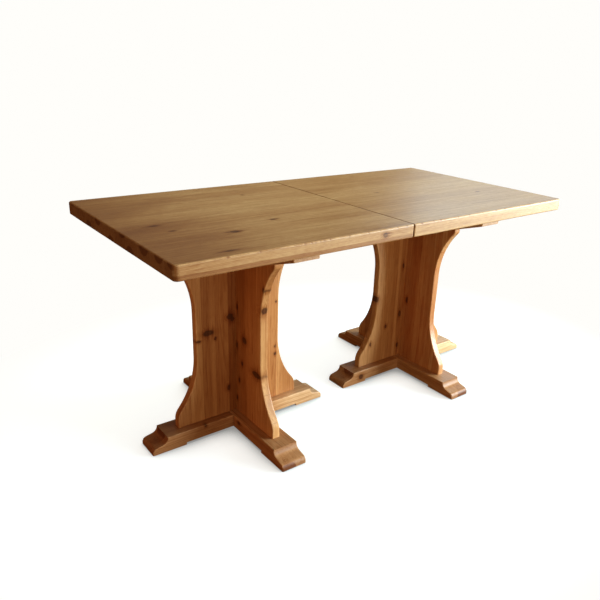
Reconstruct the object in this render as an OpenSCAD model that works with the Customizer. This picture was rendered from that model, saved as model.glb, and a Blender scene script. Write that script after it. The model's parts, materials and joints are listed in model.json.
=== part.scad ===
// Extending pine table on two cross-shaped pedestals.
//
// The top is split across the middle into two square halves. Each half stands on its own
// pedestal, and wooden runners under the top let the right half pull away from the left.
// X runs along the table and +X is the way the right half pulls out. -Y is the front.
// The origin is on the floor under the middle of the table.

/* [Table] */
// Length of the closed table
table_l = 1600; // [1560:10:1700]
// Width of the table
table_w = 800; // [780:10:900]
// Height of the table
table_h = 760; // [720:5:780]
// Thickness of the top
top_t = 42; // [38:1:50]
// Gap between the two halves of the closed top
seam_gap = 1.6; // [1:0.2:3]
// Radius of the top's outer corners, seen from above
corner_r = 14; // [4:1:20]

/* [Feet] */
// Half the length of the foot that lies along the table
long_foot_half = 344; // [330:1:352]
// Half the length of the foot that lies across the table
cross_foot_half = 352; // [330:1:360]
// Width of a foot
foot_w = 92; // [80:2:100]
// Height of a foot
foot_h = 52; // [50:1:60]
// Height of the hollow under the middle of a foot
foot_hollow_h = 8; // [6:1:10]
// Half the length of that hollow
foot_hollow_half = 225; // [210:5:250]
// Horizontal run of the moulded toe
toe_run = 53; // [48:1:60]
// Radius of the toe's rounded nose
nose_r = 16; // [12:1:16]
// Radius of the cove above the nose
cove_r = 22; // [18:1:24]

/* [Pedestal panels] */
// Thickness of a panel
panel_t = 28; // [24:1:36]
// Distance from the tip of a foot to the end of its panel
panel_setback = 107; // [100:1:120]
// How far the waist curves in from the panel's end
waist_depth = 76; // [60:1:90]
// Radius of the waist's concave curves
waist_r = 280; // [240:5:300]
// Radius of the lower shoulder
low_shoulder_r = 55; // [10:1:60]
// Radius of the upper shoulder
high_shoulder_r = 16; // [10:1:40]
// Straight upright edge above the foot
low_edge_h = 25; // [20:1:50]
// Straight upright edge below the bearer
high_edge_h = 18; // [10:1:40]

/* [Bearers] */
// Half the length of the bearers along the table
long_bearer_half = 372; // [330:1:380]
// Half the length of the bearers across the table
cross_bearer_half = 385; // [375:1:390]
// Depth of a bearer where the panels meet it
bearer_h = 52; // [45:1:56]
// Depth of a bearer at its ends
bearer_tip_h = 15; // [12:1:25]
// From the middle of a bearer to the start of its tapers
bearer_level_half = 270; // [265:1:280]

/* [Runners] */
// How far the right half pulls out
travel = 450; // [300:10:460]
// Half the length of a runner
runner_half = 325; // [300:5:340]
// Distance from the middle of the table to the joint between paired runners
runner_y = 200; // [150:5:240]
// Thickness of a runner
runner_t = 24; // [20:1:30]
// Depth of a runner
runner_h = 40; // [34:1:50]
// Depth of the groove
groove_d = 10; // [8:1:12]
// Height of the groove
groove_h = 14; // [10:1:16]
// Length of tongue that stays in the groove
tongue_l = 190; // [150:5:220]

/* [Hooks and dowels] */
// Distance of the hooks from the middle of the table
hook_y = 270; // [250:5:300]
// Distance of pivot and keeper screws from the seam
hook_reach = 42; // [36:1:50]
// Thickness of a hook
hook_t = 3; // [2:0.5:4]
// Diameter of the dowels in the seam
seam_dowel_d = 10; // [8:1:12]
// Spacing of the dowels in the seam
seam_dowel_pitch = 300; // [250:10:330]
// Diameter of the dowels through the panels
panel_dowel_d = 12; // [10:1:14]

/* [Hidden] */
$fn = 48;

LEFT = -1;
RIGHT = 1;
FRONT = -1;
REAR = 1;

PINE = [0.72, 0.47, 0.24];
PALE_PINE = [0.86, 0.66, 0.40];
DARK_PINE = [0.55, 0.31, 0.14];
BEECH = [0.80, 0.62, 0.42];
STEEL = [0.62, 0.63, 0.65];

pedestal_x = table_l / 4;
top_under = table_h - top_t;
bearer_under = top_under - bearer_h;
foot_lap_z = (foot_h + foot_hollow_h) / 2;
bearer_lap_z = top_under - bearer_h / 2;
long_panel_half = long_foot_half - panel_setback;
cross_panel_half = cross_foot_half - panel_setback;

slide_gap = 0.4;      // round a sliding runner
fit_gap = 0.05;       // round a screw or a glued dowel
dowel_gap = 0.1;      // round a seam dowel where it pulls out of its hole
past = 1;             // how far a cutting shape runs past the surface that it cuts

seam_corner_r = 3;
toe_lip = 2;          // upright step between a toe's cove and the foot's top
screw_r = 2.5;
head_r = 5;
head_h = 3;           // depth of a countersunk head
long_screw_r = 3;
long_head_r = 6;
foot_screw_l = 80;
panel_screw_l = 90;
top_screw_l = 74;
runner_screw_l = 60;
panel_screw_at = [-190, -100, 100, 190];
bearer_end_screw = 255;
bearer_side_screw = [130, 32];
runner_screw_at = [60, 180, 300];
runner_screw_in = 15; // from the joint between the runners to the screws in a runner

seam_dowel_in = 25;
seam_dowel_out = 20;
seam_hole_spare = 5;  // depth of a seam dowel's hole past the dowel's end
panel_dowel_l = 88;
panel_dowel_z = [140, 360, 580];

hook_boss_r = 10;
hook_arm_w = 12;
hook_end_r = 11;
hook_gap = 0.4;       // between the hook and the top above it, and the screw head below it
keeper_play = 0.3;    // round the keeper in the hook's throat
hook_screw_l = 22;    // length of thread in the top
dome_flatness = 0.6;  // height of a round screw head over its radius

// Points on an arc from angle a0 to angle a1
function arc(centre, r, a0, a1, steps = 12) =
    [for (i = [0 : steps]) centre + r * [cos(a0 + (a1 - a0) * i / steps), sin(a0 + (a1 - a0) * i / steps)]];

function flip(points) = [for (i = [len(points) - 1 : -1 : 0]) [-points[i].x, points[i].y]];

// ---- Shapes shared by both halves ----

// Stands a profile drawn in length and height upright, centred on its thickness along Y
module upright(thickness) {
    translate([0, thickness / 2, 0])
        rotate([90, 0, 0])
            linear_extrude(thickness)
                children();
}

// Countersunk screw with its head's flat face at the origin and its point along +Z
module screw(r, flat_r, length, gap = 0) {
    cylinder(r1 = flat_r + gap, r2 = r + gap, h = head_h);
    cylinder(r = r + gap, h = length);
}

// Screws in a row of places, each upright with its head down, or with its head up
module screws_up(places, r, flat_r, length, gap = 0) {
    for (p = places)
        translate(p)
            screw(r, flat_r, length, gap);
}

module screws_down(places, r, flat_r, length, gap = 0) {
    for (p = places)
        translate(p)
            mirror([0, 0, 1])
                screw(r, flat_r, length, gap);
}

// ---- Screw and dowel places, measured from the pedestal's centre ----

function foot_screw_places(along) =
    [for (p = panel_screw_at) along == "long" ? [p, 0, foot_hollow_h] : [0, p, foot_hollow_h]];

function panel_screw_places(along) =
    [for (p = panel_screw_at) along == "long" ? [p, 0, top_under] : [0, p, top_under]];

function top_screw_places(along) =
    let (ends = [for (s = [-1, 1]) [s * bearer_end_screw, 0]],
         sides = [for (s = [-1, 1], t = [-1, 1]) [s * bearer_side_screw.x, t * bearer_side_screw.y]])
    [for (p = concat(ends, sides))
        along == "long" ? [p.x, p.y, bearer_under] : [p.y, p.x, bearer_under]];

// Runner screws, in the table's own frame. The left half holds the outer runner of each pair
function runner_screw_places(side, end) =
    [for (x = runner_screw_at) [side * x, end * (runner_y - side * runner_screw_in), top_under - runner_h]];

module at_pedestal(side) {
    translate([side * pedestal_x, 0, 0])
        children();
}

// ---- Top ----

// A half's outline from above, drawn for the right half
module half_outline() {
    x0 = seam_gap / 2;
    x1 = table_l / 2;
    y1 = table_w / 2;
    polygon(concat(
        arc([x1 - corner_r, y1 - corner_r], corner_r, 0, 90),
        arc([x0 + seam_corner_r, y1 - seam_corner_r], seam_corner_r, 90, 180, 6),
        arc([x0 + seam_corner_r, seam_corner_r - y1], seam_corner_r, 180, 270, 6),
        arc([x1 - corner_r, corner_r - y1], corner_r, 270, 360)));
}

module seam_dowel_row(length, r, start) {
    for (i = [-1 : 1])
        translate([start, i * seam_dowel_pitch, table_h - top_t / 2])
            rotate([0, 90, 0])
                cylinder(r = r, h = length);
}

module top_half(side) {
    color(PINE)
        difference() {
            translate([0, 0, top_under])
                linear_extrude(top_t)
                    mirror([side == LEFT ? 1 : 0, 0])
                        half_outline();
            at_pedestal(side)
                for (along = ["long", "cross"])
                    screws_up(top_screw_places(along), screw_r, head_r, top_screw_l, fit_gap);
            for (end = [FRONT, REAR])
                screws_up(runner_screw_places(side, end), screw_r, head_r, runner_screw_l, fit_gap);
            for (end = [FRONT, REAR])
                translate([side * hook_reach, end * hook_y, top_under - past])
                    cylinder(r = screw_r + fit_gap, h = hook_screw_l + past);
            if (side == LEFT)
                seam_dowel_row(seam_dowel_in + past, seam_dowel_d / 2 + fit_gap,
                               -seam_gap / 2 - seam_dowel_in);
            else
                seam_dowel_row(seam_dowel_out + seam_hole_spare, seam_dowel_d / 2 + dowel_gap, 0);
        }
}

// ---- Feet ----

// One end of a foot: nose, straight fall and cove, from the floor at the tip to the top
function toe(half) =
    let (nose = [half - nose_r, nose_r / 2],
         cove = [half - toe_run + cove_r, foot_h - toe_lip],
         turn = atan2(cove.y - nose.y, cove.x - nose.x)
              - acos((nose_r + cove_r) / norm(cove - nose)))
    concat([[half, 0]],
           arc(nose, nose_r, 0, turn),
           arc(cove, cove_r, turn - 180, -180),
           [[half - toe_run, foot_h]]);

module foot_profile(half) {
    right = concat([[foot_hollow_half, foot_hollow_h], [foot_hollow_half, 0]], toe(half));
    polygon(concat(right, flip(right)));
}

module foot(half, along) {
    color(DARK_PINE)
        difference() {
            rotate(along == "long" ? 0 : 90)
                upright(foot_w)
                    foot_profile(half);
            // Half-lap where the feet cross
            if (along == "long")
                translate([-foot_w / 2, -foot_w, foot_lap_z])
                    cube([foot_w, 2 * foot_w, foot_h]);
            else
                translate([-foot_w, -foot_w / 2, -past])
                    cube([2 * foot_w, foot_w, foot_lap_z + past]);
            screws_up(foot_screw_places(along), long_screw_r, long_head_r, foot_screw_l, fit_gap);
        }
}

// ---- Panels ----

// One edge of a panel from its foot to its top: two shoulders joined by a waist
function panel_edge(half) =
    let (waist = half - waist_depth,
         low_turn = acos(1 - waist_depth / (waist_r + low_shoulder_r)),
         high_turn = acos(1 - waist_depth / (waist_r + high_shoulder_r)),
         low_z = foot_h + low_edge_h,
         high_z = bearer_under - high_edge_h,
         waist_low_z = low_z + (waist_r + low_shoulder_r) * sin(low_turn),
         waist_high_z = high_z - (waist_r + high_shoulder_r) * sin(high_turn))
    concat([[half, foot_h]],
           arc([half - low_shoulder_r, low_z], low_shoulder_r, 0, low_turn, 10),
           arc([waist + waist_r, waist_low_z], waist_r, 180 + low_turn, 180, 20),
           arc([waist + waist_r, waist_high_z], waist_r, 180, 180 - high_turn, 20),
           arc([half - high_shoulder_r, high_z], high_shoulder_r, -high_turn, 0, 10),
           [[half, bearer_under]]);

module panel_profile(half) {
    edge = panel_edge(half);
    polygon(concat(edge, flip(edge)));
}

// Holes for the screws from the foot and the bearer and for the dowels
module panel_holes(along) {
    screws_up(foot_screw_places(along), long_screw_r, long_head_r, foot_screw_l, fit_gap);
    screws_down(panel_screw_places(along), long_screw_r, long_head_r, panel_screw_l, fit_gap);
    panel_dowel_row(fit_gap);
}

module panel_dowel_row(gap = 0) {
    for (z = panel_dowel_z)
        translate([0, 0, z])
            rotate([90, 0, 0])
                cylinder(d = panel_dowel_d + 2 * gap, h = panel_dowel_l, center = true);
}

module long_panel() {
    color(PINE)
        difference() {
            upright(panel_t)
                panel_profile(long_panel_half);
            panel_holes("long");
        }
}

// Front or rear half of the panel that stands across the table
module cross_panel(end) {
    color(PALE_PINE)
        difference() {
            intersection() {
                rotate(90)
                    upright(panel_t)
                        panel_profile(cross_panel_half);
                translate([-panel_t, end == FRONT ? -table_w - panel_t / 2 : panel_t / 2, 0])
                    cube([2 * panel_t, table_w, table_h]);
            }
            panel_holes("cross");
        }
}

// ---- Bearers ----

module bearer_profile(half) {
    right = [[bearer_level_half, bearer_under],
             [half, top_under - bearer_tip_h],
             [half, top_under]];
    polygon(concat(right, flip(right)));
}

module bearer(along) {
    color(DARK_PINE)
        difference() {
            rotate(along == "long" ? 0 : 90)
                upright(foot_w)
                    bearer_profile(along == "long" ? long_bearer_half : cross_bearer_half);
            // Half-lap where the bearers cross
            if (along == "long")
                translate([-foot_w / 2, -foot_w, bearer_lap_z])
                    cube([foot_w, 2 * foot_w, bearer_h]);
            else
                translate([-foot_w, -foot_w / 2, bearer_under - past])
                    cube([2 * foot_w, foot_w, bearer_lap_z - bearer_under + past]);
            screws_up(top_screw_places(along), screw_r, head_r, top_screw_l, fit_gap);
            screws_down(panel_screw_places(along), long_screw_r, long_head_r, panel_screw_l, fit_gap);
        }
}

// ---- Runners ----

// Outer runner, fixed to the left half, with a groove that stops short of its right end
module grooved_runner() {
    groove_stop = travel + tongue_l - runner_half + slide_gap;
    groove_z = top_under - runner_h / 2 - groove_h / 2;
    difference() {
        translate([-runner_half, runner_y, top_under - runner_h])
            cube([2 * runner_half, runner_t, runner_h]);
        translate([-runner_half - past, runner_y - past, groove_z])
            cube([groove_stop + runner_half + past, groove_d + past, groove_h]);
        translate([-seam_gap / 2, runner_y - past, top_under - slide_gap])
            cube([runner_half + seam_gap, runner_t + 2 * past, 2 * slide_gap]);
    }
}

// Inner runner, fixed to the right half, with a tongue at its left end
module tongued_runner() {
    tongue_h = groove_h - 2 * slide_gap;
    difference() {
        union() {
            translate([-runner_half, runner_y - slide_gap - runner_t, top_under - runner_h])
                cube([2 * runner_half, runner_t, runner_h]);
            translate([-runner_half, runner_y - 2 * slide_gap, top_under - runner_h / 2 - tongue_h / 2])
                cube([tongue_l, groove_d + slide_gap, tongue_h]);
        }
        translate([-runner_half - past, runner_y - slide_gap - runner_t - past, top_under - slide_gap])
            cube([runner_half + past + seam_gap / 2, runner_t + 2 * past, 2 * slide_gap]);
    }
}

module runner(side, end) {
    color(BEECH)
        difference() {
            mirror([0, end == FRONT ? 1 : 0, 0]) {
                if (side == LEFT)
                    grooved_runner();
                else
                    tongued_runner();
            }
            screws_up(runner_screw_places(side, end), screw_r, head_r, runner_screw_l, fit_gap);
        }
}

// ---- Screws and dowels ----

module foot_screws() {
    color(STEEL)
        for (along = ["long", "cross"])
            screws_up(foot_screw_places(along), long_screw_r, long_head_r, foot_screw_l);
}

module panel_screws() {
    color(STEEL)
        for (along = ["long", "cross"])
            screws_down(panel_screw_places(along), long_screw_r, long_head_r, panel_screw_l);
}

module top_screws() {
    color(STEEL)
        for (along = ["long", "cross"])
            screws_up(top_screw_places(along), screw_r, head_r, top_screw_l);
}

module runner_screws(side) {
    color(STEEL)
        for (end = [FRONT, REAR])
            screws_up(runner_screw_places(side, end), screw_r, head_r, runner_screw_l);
}

module panel_dowels() {
    color(BEECH)
        panel_dowel_row();
}

module seam_dowels() {
    color(BEECH)
        seam_dowel_row(seam_dowel_in + seam_dowel_out, seam_dowel_d / 2, -seam_gap / 2 - seam_dowel_in);
}

// ---- Hooks ----

// A hook as it lies when fastened: its pivot at the origin and its arm along +X.
// Its throat opens towards +Y, wide enough for the arc that the keeper follows into it
module hook_outline() {
    span = 2 * hook_reach;
    throat_r = screw_r + keeper_play;
    sweep_in = span - sqrt(span * span - hook_end_r * hook_end_r);
    difference() {
        union() {
            circle(hook_boss_r);
            translate([0, -hook_arm_w / 2])
                square([span, hook_arm_w]);
            translate([span, 0])
                circle(hook_end_r);
        }
        circle(screw_r + fit_gap);
        translate([span, 0])
            circle(throat_r);
        translate([span - throat_r - sweep_in, 0])
            square([2 * throat_r + sweep_in, 2 * hook_end_r]);
    }
}

// The hooks rest swung back under the left half, pointing away from the middle of the table
module hook(end) {
    color(STEEL)
        translate([-hook_reach, end * hook_y, top_under - hook_gap - hook_t])
            mirror([0, end == REAR ? 1 : 0, 0])
                rotate(-90)
                    linear_extrude(hook_t)
                        hook_outline();
}

// Round-headed screws that hold the hooks, or that the hooks catch on
module hook_screws(side) {
    neck = hook_t + 2 * hook_gap;
    color(STEEL)
        for (end = [FRONT, REAR])
            translate([side * hook_reach, end * hook_y, top_under - neck]) {
                cylinder(r = screw_r, h = neck + hook_screw_l);
                intersection() {
                    scale([1, 1, dome_flatness])
                        sphere(head_r);
                    translate([-head_r, -head_r, -head_r])
                        cube([2 * head_r, 2 * head_r, head_r]);
                }
            }
}

top_half(LEFT);  // left_top
at_pedestal(LEFT) foot(long_foot_half, "long");  // left_long_foot
at_pedestal(LEFT) foot(cross_foot_half, "cross");  // left_cross_foot
at_pedestal(LEFT) long_panel();  // left_long_panel
at_pedestal(LEFT) cross_panel(FRONT);  // left_front_panel
at_pedestal(LEFT) cross_panel(REAR);  // left_rear_panel
at_pedestal(LEFT) bearer("long");  // left_long_bearer
at_pedestal(LEFT) bearer("cross");  // left_cross_bearer
runner(LEFT, FRONT);  // left_front_runner
runner(LEFT, REAR);  // left_rear_runner
at_pedestal(LEFT) foot_screws();  // left_foot_screws
at_pedestal(LEFT) panel_screws();  // left_panel_screws
at_pedestal(LEFT) top_screws();  // left_top_screws
runner_screws(LEFT);  // left_runner_screws
at_pedestal(LEFT) panel_dowels();  // left_panel_dowels

top_half(RIGHT);  // right_top
at_pedestal(RIGHT) foot(long_foot_half, "long");  // right_long_foot
at_pedestal(RIGHT) foot(cross_foot_half, "cross");  // right_cross_foot
at_pedestal(RIGHT) long_panel();  // right_long_panel
at_pedestal(RIGHT) cross_panel(FRONT);  // right_front_panel
at_pedestal(RIGHT) cross_panel(REAR);  // right_rear_panel
at_pedestal(RIGHT) bearer("long");  // right_long_bearer
at_pedestal(RIGHT) bearer("cross");  // right_cross_bearer
runner(RIGHT, FRONT);  // right_front_runner
runner(RIGHT, REAR);  // right_rear_runner
at_pedestal(RIGHT) foot_screws();  // right_foot_screws
at_pedestal(RIGHT) panel_screws();  // right_panel_screws
at_pedestal(RIGHT) top_screws();  // right_top_screws
runner_screws(RIGHT);  // right_runner_screws
at_pedestal(RIGHT) panel_dowels();  // right_panel_dowels

seam_dowels();
hook(FRONT);  // front_hook
hook(REAR);  // rear_hook
hook_screws(LEFT);  // hook_pivot_screws
hook_screws(RIGHT);  // hook_keeper_screws
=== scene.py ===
"""An extending pine table on two cross-shaped pedestals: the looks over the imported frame.

Lengths are in metres. X runs along the table, -Y is its front, Z is up and the floor is Z = 0.
"""

import json
import math
from dataclasses import dataclass

import bmesh
import bpy
from mathutils import Matrix, Vector, noise

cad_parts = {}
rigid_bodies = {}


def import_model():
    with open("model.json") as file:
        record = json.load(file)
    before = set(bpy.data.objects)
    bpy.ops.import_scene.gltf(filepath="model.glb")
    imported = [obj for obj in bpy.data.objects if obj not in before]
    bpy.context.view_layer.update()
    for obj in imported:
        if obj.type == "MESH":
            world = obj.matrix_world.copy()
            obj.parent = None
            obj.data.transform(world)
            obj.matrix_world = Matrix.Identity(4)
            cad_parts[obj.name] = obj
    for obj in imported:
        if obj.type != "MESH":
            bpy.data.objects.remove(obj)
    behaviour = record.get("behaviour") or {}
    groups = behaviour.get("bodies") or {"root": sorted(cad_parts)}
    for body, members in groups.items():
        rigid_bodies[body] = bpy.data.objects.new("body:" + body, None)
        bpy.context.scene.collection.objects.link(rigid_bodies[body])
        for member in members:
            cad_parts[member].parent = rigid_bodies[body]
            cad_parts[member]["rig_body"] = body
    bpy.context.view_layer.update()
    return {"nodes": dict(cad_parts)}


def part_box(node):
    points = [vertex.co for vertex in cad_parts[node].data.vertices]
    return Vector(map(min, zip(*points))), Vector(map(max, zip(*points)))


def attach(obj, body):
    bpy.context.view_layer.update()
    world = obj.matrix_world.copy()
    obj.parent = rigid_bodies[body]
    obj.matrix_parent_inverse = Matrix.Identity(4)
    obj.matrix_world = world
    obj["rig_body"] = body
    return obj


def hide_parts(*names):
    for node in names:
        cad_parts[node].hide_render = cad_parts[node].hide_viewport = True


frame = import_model()
nodes = frame["nodes"]

MM = 0.001

# ---- Sizes of the wooden pieces. Places and overall sizes come from the frame ----

TOP_CORNER_R = 14 * MM
SEAM_CORNER_R = 5.5 * MM
TOP_ARRIS = 4.5 * MM
SEAM_ARRIS = 2 * MM

FOOT_HOLLOW_H = 8 * MM
FOOT_HOLLOW_HALF = 225 * MM
TOE_RUN = 53 * MM
TOE_LIP = 2 * MM
NOSE_R = 16 * MM
COVE_R = 22 * MM

WAIST_DEPTH = 76 * MM
WAIST_R = 280 * MM
LOW_SHOULDER_R = 55 * MM
HIGH_SHOULDER_R = 16 * MM
LOW_EDGE_H = 25 * MM
HIGH_EDGE_H = 18 * MM

BEARER_TIP_H = 15 * MM
BEARER_LEVEL_HALF = 270 * MM

SLIDE_GAP = 0.4 * MM
GROOVE_DEPTH = 10 * MM
GROOVE_H = 14 * MM
TONGUE_L = 190 * MM
GROOVE_STOP = 315.4 * MM   # from the middle of the table to the closed end of a groove
OVERCUT = 1 * MM           # how far a cutting or joined block goes past the face it meets

ARRIS = 3 * MM             # rounding of an ordinary edge
FLOOR_ARRIS = 1.5 * MM     # rounding of an edge near the floor or under the top
ARRIS_STEPS = 4
WEAR_SHARE = 0.22          # how much a rounding varies, as a share of its size
WEAR_SCALE = 9             # how often it varies, in waves per metre
SUPPORT = 1.5 * MM         # flat strip beside an arris, which keeps the flat faces' shading flat
POINT_SPACING = 14 * MM
CHIP_SPACING = 2 * MM
FIT_GAP = 0.05 * MM        # round a screw or a dowel
SEAM_HOLE_SPARE = 5 * MM   # depth of a seam dowel's hole past the dowel's end

SCREW_R = 2.5 * MM
LONG_SCREW_R = 3 * MM
HEAD_DEPTH = 3 * MM

# Each half's kinds of screws: the radius of the shaft, and whether the heads are at the low end
SCREWS = {
    "foot": (LONG_SCREW_R, True),
    "panel": (LONG_SCREW_R, False),
    "top": (SCREW_R, True),
    "runner": (SCREW_R, True),
}


# ---- Outlines: lists of (x, y, rounding of the edge that starts there), anticlockwise ----


def arc(centre, radius, start, end, steps, rounding):
    """Points on an arc between two angles in degrees."""
    points = []
    for i in range(steps + 1):
        angle = math.radians(start + (end - start) * i / steps)
        x = centre[0] + radius * math.cos(angle)
        y = centre[1] + radius * math.sin(angle)
        points.append((x, y, rounding))
    return points


def with_mirror(points, closing):
    """The points and their mirror images across x = 0. closing rounds the edge that closes the outline."""
    places = [(-x, y) for x, y, _ in reversed(points)]
    roundings = [rounding for _, _, rounding in reversed(points)][1:] + [closing]
    return points + [(x, y, rounding) for (x, y), rounding in zip(places, roundings)]


def with_more_points(outline, front_spacing=POINT_SPACING):
    """The outline without doubled points, and with its long edges split so that their rounding can vary
    along them. An edge that runs towards +x, which is the front edge of a top, has its own spacing."""
    points = []
    for (x0, y0, rounding), (x1, y1, _) in zip(outline, outline[1:] + outline[:1]):
        spacing = front_spacing if x1 - x0 > abs(y1 - y0) else POINT_SPACING
        length = math.hypot(x1 - x0, y1 - y0)
        count = max(1, round(length / spacing)) if length > FIT_GAP else 0
        for i in range(count):
            t = i / count
            points.append((x0 + (x1 - x0) * t, y0 + (y1 - y0) * t, rounding))
    return points


def foot_outline(half, height, lap_half, lapped_from_above):
    """A foot from the side: pads, a hollow between them, and a nose and a cove at each toe."""
    lap = (height + FOOT_HOLLOW_H) / 2
    nose = (half - NOSE_R, NOSE_R / 2)
    cove = (half - TOE_RUN + COVE_R, height - TOE_LIP)
    across, up = cove[0] - nose[0], cove[1] - nose[1]
    turn = math.atan2(up, across) - math.acos((NOSE_R + COVE_R) / math.hypot(across, up))
    turn = math.degrees(turn)
    right = [(FOOT_HOLLOW_HALF, FOOT_HOLLOW_H, FLOOR_ARRIS)]
    right += [(FOOT_HOLLOW_HALF, 0, FLOOR_ARRIS), (half, 0, ARRIS)]
    right += arc(nose, NOSE_R, 0, turn, 10, ARRIS)
    right += arc(cove, COVE_R, turn - 180, -180, 10, ARRIS)
    right += [(half - TOE_RUN, height, ARRIS)]
    if lapped_from_above:
        right += [(lap_half, height, 0), (lap_half, lap, 0)]
        return with_mirror(right, FLOOR_ARRIS)
    return with_mirror([(lap_half, lap, 0), (lap_half, FOOT_HOLLOW_H, FLOOR_ARRIS)] + right, 0)


def panel_edge(half, low, high):
    """One edge of a panel from its foot to its bearer: two shoulders joined by a waist."""
    waist = half - WAIST_DEPTH
    low_turn = math.acos(1 - WAIST_DEPTH / (WAIST_R + LOW_SHOULDER_R))
    high_turn = math.acos(1 - WAIST_DEPTH / (WAIST_R + HIGH_SHOULDER_R))
    low_z = low + LOW_EDGE_H
    high_z = high - HIGH_EDGE_H
    waist_low_z = low_z + (WAIST_R + LOW_SHOULDER_R) * math.sin(low_turn)
    waist_high_z = high_z - (WAIST_R + HIGH_SHOULDER_R) * math.sin(high_turn)
    low_turn, high_turn = math.degrees(low_turn), math.degrees(high_turn)
    points = [(half, low, ARRIS)]
    points += arc((half - LOW_SHOULDER_R, low_z), LOW_SHOULDER_R, 0, low_turn, 12, ARRIS)
    points += arc((waist + WAIST_R, waist_low_z), WAIST_R, 180 + low_turn, 180, 20, ARRIS)
    points += arc((waist + WAIST_R, waist_high_z), WAIST_R, 180, 180 - high_turn, 20, ARRIS)
    points += arc((half - HIGH_SHOULDER_R, high_z), HIGH_SHOULDER_R, -high_turn, 0, 10, ARRIS)
    return points + [(half, high, 0)]


def bearer_outline(half, low, high, lap_half, lapped_from_above):
    """A bearer from the side: deep over the panels and tapered to thin ends."""
    lap = (low + high) / 2
    right = [(BEARER_LEVEL_HALF, low, ARRIS)]
    right += [(half, high - BEARER_TIP_H, ARRIS), (half, high, 0)]
    if lapped_from_above:
        right += [(lap_half, high, 0), (lap_half, lap, 0)]
        return with_mirror(right, ARRIS)
    return with_mirror([(lap_half, lap, 0), (lap_half, low, ARRIS)] + right, 0)


def rectangle(low, high, corner_radii, roundings):
    """A rectangle with round corners. Its edges go front, right, rear, left, each with its rounding,
    and each corner radius belongs to the corner at the end of that edge."""
    corners = ((1, -1, -90), (1, 1, 0), (-1, 1, 90), (-1, -1, 180))
    points = []
    for i, (side_x, side_y, start) in enumerate(corners):
        radius = corner_radii[i]
        x = (high[0] if side_x > 0 else low[0]) - side_x * radius
        y = (high[1] if side_y > 0 else low[1]) - side_y * radius
        before, after = roundings[i], roundings[(i + 1) % 4]
        turn = arc((x, y), radius, start, start + 90, 8, before)
        for step, (px, py, _) in enumerate(turn):
            points.append((px, py, before + (after - before) * step / (len(turn) - 1)))
    return points


# ---- Meshes ----


def object_from(name, mesh):
    piece = bpy.data.objects.new(name, mesh)
    bpy.context.scene.collection.objects.link(piece)
    return piece


def moved_in(outline, insets):
    """The outline's points after each edge has moved inwards by its own inset."""
    places = [Vector((x, y)) for x, y, _ in outline]
    normals = []
    for here, there in zip(places, places[1:] + places[:1]):
        along = (there - here).normalized()
        normals.append(Vector((-along.y, along.x)))
    moved = []
    for i, place in enumerate(places):
        n0, n1 = normals[i - 1], normals[i]
        d0, d1 = insets[i - 1], insets[i]
        turn = n0.x * n1.y - n0.y * n1.x
        if abs(turn) < 0.25:
            middle = (n0 + n1).normalized()
            moved.append(place + middle * ((d0 + d1) / 2 / middle.dot(n0)))
        else:
            moved.append(place + Vector((d0 * n1.y - d1 * n0.y, d1 * n0.x - d0 * n1.x)) / turn)
    return moved


def uneven(outline, name):
    """Roundings of the outline's edges, worn a little more here and there."""
    start = sum(map(ord, name))
    worn = []
    for x, y, rounding in outline:
        wave = noise.noise(Vector((x * WEAR_SCALE, y * WEAR_SCALE, start)))
        worn.append(rounding * (1 + WEAR_SHARE * wave))
    return worn


def rounded_prism(name, outline, low, high, place, low_scale=1.0, support=SUPPORT):
    """A closed board: the outline raised from low to high, with a rounded arris along each edge of
    both ends. place turns (x, y, height) into a point of the table. low_scale is the size of the low
    end's arrises next to the high end's, and support is the flat strip beside an arris."""
    bm = bmesh.new()
    on_arris = bm.verts.layers.float.new("arris")
    roundings = uneven(outline, name)
    largest = [max(roundings[i - 1], roundings[i]) for i in range(len(outline))]
    rings = []

    def ring(scale, inset, rise, extra_inset, extra_rise, from_top, amount):
        insets = [r * scale * inset + extra_inset for r in roundings]
        verts = []
        for flat, size in zip(moved_in(outline, insets), largest):
            height = size * scale * rise + extra_rise
            vert = bm.verts.new(place(flat.x, flat.y, high - height if from_top else low + height))
            vert[on_arris] = amount if size > 0 else 0.0
            verts.append(vert)
        rings.append(verts)

    def end(scale, from_top):
        ring(scale, 1, 0, support, 0, from_top, 0)
        for i in range(ARRIS_STEPS + 1):
            angle = math.radians(90 * i / ARRIS_STEPS)
            ring(scale, 1 - math.sin(angle), 1 - math.cos(angle), 0, 0, from_top, math.sin(2 * angle))
        ring(scale, 0, 1, 0, support, from_top, 0)

    end(low_scale, False)
    count = len(rings)
    end(1.0, True)
    rings[count:] = rings[count:][::-1]
    for lower, upper in zip(rings, rings[1:]):
        for i in range(len(outline)):
            bm.faces.new((lower[i - 1], lower[i], upper[i], upper[i - 1]))
    bm.faces.new(rings[0][::-1])
    bm.faces.new(rings[-1])
    bmesh.ops.remove_doubles(bm, verts=bm.verts, dist=0.002 * MM)
    bmesh.ops.dissolve_degenerate(bm, edges=bm.edges, dist=0.002 * MM)
    bmesh.ops.recalc_face_normals(bm, faces=bm.faces)
    mesh = bpy.data.meshes.new(name)
    bm.to_mesh(mesh)
    bm.free()
    return object_from(name, mesh)


def solids(node):
    """The boxes of the separate solids in a CAD node."""
    bm = bmesh.new()
    bm.from_mesh(nodes[node].data)
    bmesh.ops.remove_doubles(bm, verts=bm.verts, dist=0.001 * MM)
    seen, boxes = set(), []
    for first in bm.verts:
        if first.index in seen:
            continue
        seen.add(first.index)
        group, places = [first], []
        while group:
            vert = group.pop()
            places.append(vert.co.copy())
            for edge in vert.link_edges:
                other = edge.other_vert(vert)
                if other.index not in seen:
                    seen.add(other.index)
                    group.append(other)
        low = Vector([min(p[k] for p in places) for k in range(3)])
        high = Vector([max(p[k] for p in places) for k in range(3)])
        boxes.append((low, high))
    bm.free()
    return boxes


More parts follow.
